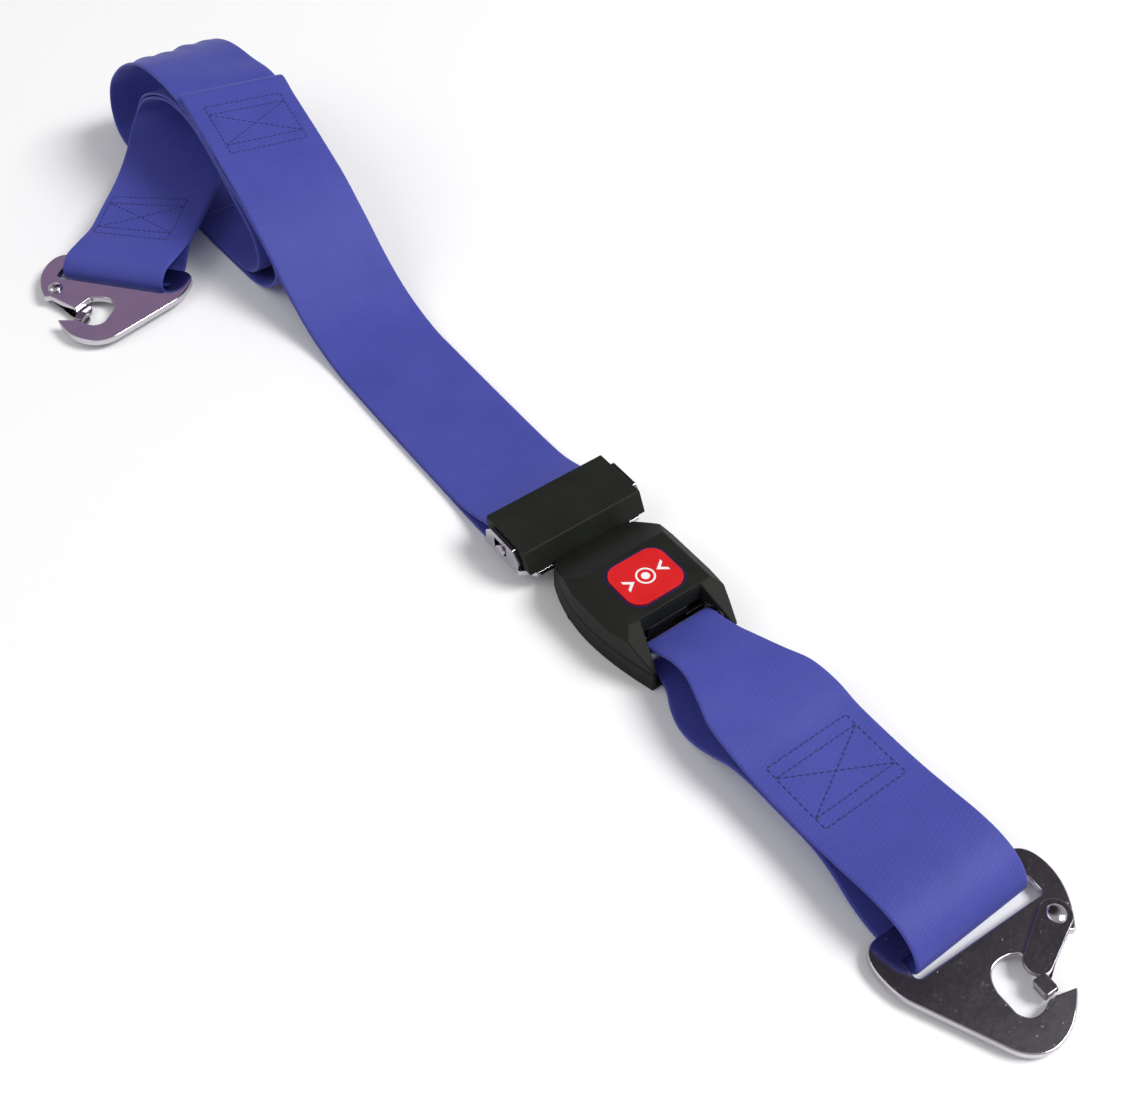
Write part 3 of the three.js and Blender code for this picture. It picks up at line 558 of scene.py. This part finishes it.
SHORT = [
    round_bar(-1, 0), round_bar(-0.7, 0.7), round_bar(0, 1),
    short(-73, 14.8, 15.6, -1.1, -4), short(-66, 17, 16.2, -0.8, -7),
    short(-58, 18.8, 17.6, -0.6, -6), short(-48, 19.4, 20.6, -0.7, -3), short(-38, 18.8, 24, -0.3),
    short(-26, 17.5), short(-16, 15.6), short(0, 15), short(16, 15.3), short(29, 16.6), short(41, 17.9),
    short(51, 17.4), short(58.5, 14.6), short(63.2, 9.8), short(64.9, 4.6), short(63.5, 1.75), short(60, 0.9),
    short(56, 0.85), short(51, 0.88), short(44, 1.6), short(35, 4.6), short(27, 9.2), short(17, 12.7),
    short(0, 13), short(-17, 12.5), short(-25, 10.6), short(-34, 6), short(-43, 2.4), short(-52, 1, 24.6),
    short(-60, 1.2, 22), short(-67, 2.6, 18.5), short(-73.5, 4, 16.2, -1.1),
    round_bar(0, -1), round_bar(-0.7, -0.7),
]


def build_short_strap():
    web = Web(SHORT, closed=True)
    obj = add_object("short_strap_webbing", web.mesh("short_strap_webbing"), WEBBING,
                     "short_strap", ("short_strap",))
    mesh = box_on(web, "short_stitching", SHORT_BOX_SPOT, 0, 29.2, 37, 4.9)
    add_object("short_stitching", mesh, THREAD, "short_strap")


# ---------- buckle, adjuster and clips ----------
def rivet_dome(name, node, body, head_up):
    """A turned rivet: low domed heads on a plain shank, in place of the plain CAD one."""
    low_head, tall_head, shank, sides = 0.0009, 0.0017, 0.0016, 40
    lo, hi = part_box(node)
    c = (lo + hi) / 2
    r = (hi.x - lo.x) / 2
    bottom, top = lo.z, hi.z
    head, foot = (low_head, tall_head) if head_up else (tall_head, low_head)

    def cap(z_tip, z_base, steps=8):
        return [(r * math.sin(a), z_base + (z_tip - z_base) * math.cos(a))
                for a in (i * math.pi / 2 / steps for i in range(steps + 1))]

    outline = cap(top, top - head)
    outline += [(r, top - head), (shank, top - head), (shank, bottom + foot), (r, bottom + foot)]
    outline += cap(bottom, bottom + foot)[::-1]
    verts, faces = [], []
    for rr, z in outline:
        for k in range(sides):
            a = 2 * math.pi * k / sides
            verts.append((c.x + max(rr, 1e-6) * math.cos(a), c.y + max(rr, 1e-6) * math.sin(a), z))
    for i in range(len(outline) - 1):
        for k in range(sides):
            n = (k + 1) % sides
            faces.append((i * sides + k, (i + 1) * sides + k, (i + 1) * sides + n, i * sides + n))
    mesh = new_mesh(name, verts, faces)
    face_outward(mesh, weld=1e-5)
    add_object(name, mesh, CHROME, body, (node,))


def rounded_outline(cx, cy, length, width, corner, per=10):
    """A rectangle with rounded corners."""
    pts = []
    for sx, sy, start in ((1, 1, 0), (-1, 1, 90), (-1, -1, 180), (1, -1, 270)):
        for i in range(per + 1):
            a = math.radians(start + 90 * i / per)
            pts.append((cx + sx * (length / 2 - corner) + corner * math.cos(a),
                        cy + sy * (width / 2 - corner) + corner * math.sin(a)))
    return pts


def loft(name, rings):
    """A closed body through rings of the same number of points, capped at both ends."""
    size = len(rings[0])
    verts = [p for ring in rings for p in ring]
    faces = []
    for i in range(len(rings) - 1):
        for k in range(size):
            n = (k + 1) % size
            faces.append((i * size + k, i * size + n, (i + 1) * size + n, (i + 1) * size + k))
    faces.append(tuple(range(size - 1, -1, -1)))
    faces.append(tuple((len(rings) - 1) * size + k for k in range(size)))
    mesh = new_mesh(name, place(verts), faces)
    face_outward(mesh)
    return mesh


def flat_ring(name, outer, inner, low, high, material, slot, body):
    """A thin flat ring between two outlines of the same number of points."""
    count = len(outer)
    verts = [(x, y, z) for line in (inner, outer) for z in (low, high) for x, y in line]
    faces = []
    a, b, c, d = 0, count, 2 * count, 3 * count
    for k in range(count):
        n = (k + 1) % count
        faces += [(b + k, d + k, d + n, b + n), (a + k, a + n, c + n, c + k),
                  (d + k, c + k, c + n, d + n), (a + k, b + k, b + n, a + n)]
    add_object(name, new_mesh(name, place(verts), faces), material, body, smooth=False)


def symbol_piece(name, points):
    mesh = loft(name, [[(x, y, z) for x, y in points] for z in SYMBOL_Z])
    add_object(name, mesh, SYMBOL, "push_button", smooth=False)


def circle(r, count=40):
    """A circle about the middle of the button."""
    return [(BUTTON_X + r * math.cos(2 * math.pi * k / count), BUCKLE_Y + r * math.sin(2 * math.pi * k / count))
            for k in range(count)]


def build_symbol():
    """A press pictogram: a dot in a ring with an arrowhead on each side."""
    cx, cy = BUTTON_X, BUCKLE_Y
    symbol_piece("symbol_dot", circle(1.7, 28))
    flat_ring("symbol_ring", circle(3.9), circle(3.15), *SYMBOL_Z, SYMBOL, "red_plastic", "push_button")
    for side, name in ((-1, "right"), (1, "left")):
        tip, back = cy + side * 5.2, cy + side * 9.4
        arrow = [(cx, tip), (cx + 3, back), (cx + 1.7, back),
                 (cx, tip + side * 2), (cx - 1.7, back), (cx - 3, back)]
        symbol_piece("symbol_arrow_" + name, arrow if side > 0 else arrow[::-1])


def build_button_gap():
    """The dark line around the button, lying in the chamfer of its window."""
    outline = lambda grow: rounded_outline(BUTTON_X, BUCKLE_Y, 21.4 + 2 * grow, 25.6 + 2 * grow, 6 + grow)
    flat_ring("button_gap_line", outline(0.95), outline(0.32), *GAP_Z, RING, "black_plastic", "buckle")


def copy_of(node):
    """A free copy of a CAD node's mesh that stands for it."""
    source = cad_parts[node]
    mesh = source.data.copy()
    mesh.transform(source.matrix_world)
    mesh.materials.clear()
    drop_cad_normals(mesh)
    return mesh


def build_springs():
    """Copies of the button's two coils and of the latch leaf; the leaf is cut across at four places in front of the
    rivets.
    """
    for node in ("button_spring_right", "button_spring_left"):
        coil = add_object(node + "_coil", copy_of(node), STEEL, "buckle", (node,))
        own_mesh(coil)
    leaf = add_object("latch_leaf_bending", copy_of("latch_leaf"), STEEL, None, ("latch_leaf",),
                      smooth=False)
    bm = bmesh.new()
    bm.from_mesh(leaf.data)
    for x in (-121.5, -119.5, -117.5, -116):
        bmesh.ops.bisect_plane(bm, geom=bm.verts[:] + bm.edges[:] + bm.faces[:],
                               plane_co=Vector(place([x, 0, 0])), plane_no=Vector((1, 0, 0)))
    bm.to_mesh(leaf.data)
    bm.free()
    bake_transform(leaf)


def build_hardware():
    for node in ("buckle_upper_cover", "buckle_lower_cover"):
        dress_node(node, BLACK, 0.5, 3, clamp=False)
    dress_node("adjuster_cover", BLACK, 0.5, 3)
    dress_node("ejector", BLACK, 0.2, 1)
    dress_node("push_button", RED, 0.6, 3)
    dress_node("tongue_plate", CHROME, 0.45, 4)
    for node in ("near_clip_plate", "far_clip_plate"):
        dress_node(node, CHROME, 0.55, 4, clamp=False)
    # The gates take the darkened chrome copy, which is painted shade.
    for node in ("near_clip_gate", "far_clip_gate"):
        dress_node(node, PAINTED_SHADE_GATE_CHROME, 0.4, 3, clamp=False)
    dress_node("lock_bar", CHROME, 0.3, 2)
    for node in ("buckle_frame", "strap_bar", "latch_rivet_right", "latch_rivet_left", "ejector_spring",
                 "near_gate_spring", "far_gate_spring", "cover_screw_1", "cover_screw_2", "cover_screw_3",
                 "cover_screw_4"):
        dress_node(node, STEEL)
    build_springs()
    rivet_dome("near_rivet_domed", "near_clip_rivet", "near_clip", True)
    rivet_dome("far_rivet_domed", "far_clip_rivet", "far_clip", False)
    build_button_gap()
    build_symbol()


# ---------- stage ----------
def build_stage():
    s = 6.0
    mesh = new_mesh("floor", [(-s, -s, 0), (s, -s, 0), (s, s, 0), (-s, s, 0)], [(0, 1, 2, 3)])
    floor = bpy.data.objects.new("floor", mesh)
    bpy.context.scene.collection.objects.link(floor)
    m, _, _, bsdf = new_material("floor_white")
    bsdf.inputs["Base Color"].default_value = (0.94, 0.94, 0.94, 1)
    bsdf.inputs["Roughness"].default_value = 0.9
    bsdf.inputs["Specular IOR Level"].default_value = 0.1
    mesh.materials.append(m)


def area_light(name, at, size, power):
    """A white panel that faces the object."""
    data = bpy.data.lights.new(name, "AREA")
    data.shape = "RECTANGLE"
    data.size, data.size_y = size
    data.energy = power
    obj = bpy.data.objects.new(name, data)
    bpy.context.scene.collection.objects.link(obj)
    obj.location = at
    obj.rotation_euler = (-Vector(at)).to_track_quat("-Z", "Y").to_euler()


def build_lights():
    area_light("key", (1.3, 1.45, 2.3), (1.2, 1.2), 74)
    area_light("fill", (-0.6, -2.0, 2.2), (2.4, 1.6), 16)
    world = bpy.data.worlds.new("studio")
    bpy.context.scene.world = world
    world.use_nodes = True
    nodes, links = world.node_tree.nodes, world.node_tree.links
    bg = nodes["Background"]
    coord = nodes.new("ShaderNodeTexCoord").outputs["Generated"]

    def lobe(direction, start, end):
        """1 within start degrees of a direction, falling to 0 at end degrees."""
        d = Vector(direction).normalized()
        dot = nodes.new("ShaderNodeVectorMath")
        dot.operation = "DOT_PRODUCT"
        dot.inputs[1].default_value = d
        links.new(coord, dot.inputs[0])
        spread = nodes.new("ShaderNodeMapRange")
        spread.interpolation_type = "SMOOTHSTEP"
        spread.inputs["From Min"].default_value = math.cos(math.radians(end))
        spread.inputs["From Max"].default_value = math.cos(math.radians(start))
        links.new(dot.outputs["Value"], spread.inputs["Value"])
        return spread.outputs[0]

    def mixed(fac, a, b):
        mix = nodes.new("ShaderNodeMix")
        mix.data_type = "RGBA"
        links.new(fac, mix.inputs[0])
        for k, c in ((6, a), (7, b)):
            if isinstance(c, tuple):
                mix.inputs[k].default_value = (*c, 1)
            else:
                links.new(c, mix.inputs[k])
        return mix.outputs[2]

    color = (0.62, 0.62, 0.63)
    color = mixed(lobe((-0.90, 0.42, 0.10), 5, 11), color, (1.9, 1.85, 2.0))
    color = mixed(lobe((-0.50, 0.40, 0.78), 16, 34), color, (0.042, 0.035, 0.047))
    color = mixed(lobe((-0.80, 0.19, 0.57), 9, 17), color, (0.44, 0.31, 0.50))
    links.new(color, bg.inputs["Color"])
    bg.inputs["Strength"].default_value = 0.72


def build_camera():
    data = bpy.data.cameras.new("camera")
    data.sensor_width = 36
    data.lens = 46.22
    cam = bpy.data.objects.new("camera", data)
    bpy.context.scene.collection.objects.link(cam)
    yaw, pitch, roll = 2.512, 0.846, -0.0096     # radians; the pitch is downward
    look = np.array([math.cos(yaw) * math.cos(pitch), math.sin(yaw) * math.cos(pitch), -math.sin(pitch)])
    right = np.cross(look, [0, 0, 1.0])
    right /= np.linalg.norm(right)
    up = np.cross(right, look)
    c, s = math.cos(roll), math.sin(roll)
    right, up = c * right + s * up, -s * right + c * up
    at = place([161.85, -231.22, 431.62])
    m = Matrix.Identity(4)
    for i in range(3):
        m[i][0], m[i][1], m[i][2], m[i][3] = right[i], up[i], -look[i], at[i]
    cam.matrix_world = m
    data.clip_start, data.clip_end = 0.01, 50
    bpy.context.scene.camera = cam


build_long_strap()
build_short_strap()
build_hardware()
build_stage()
build_lights()
build_camera()
bpy.context.scene.view_settings.view_transform = "Standard"
bpy.context.scene.view_settings.look = "None"
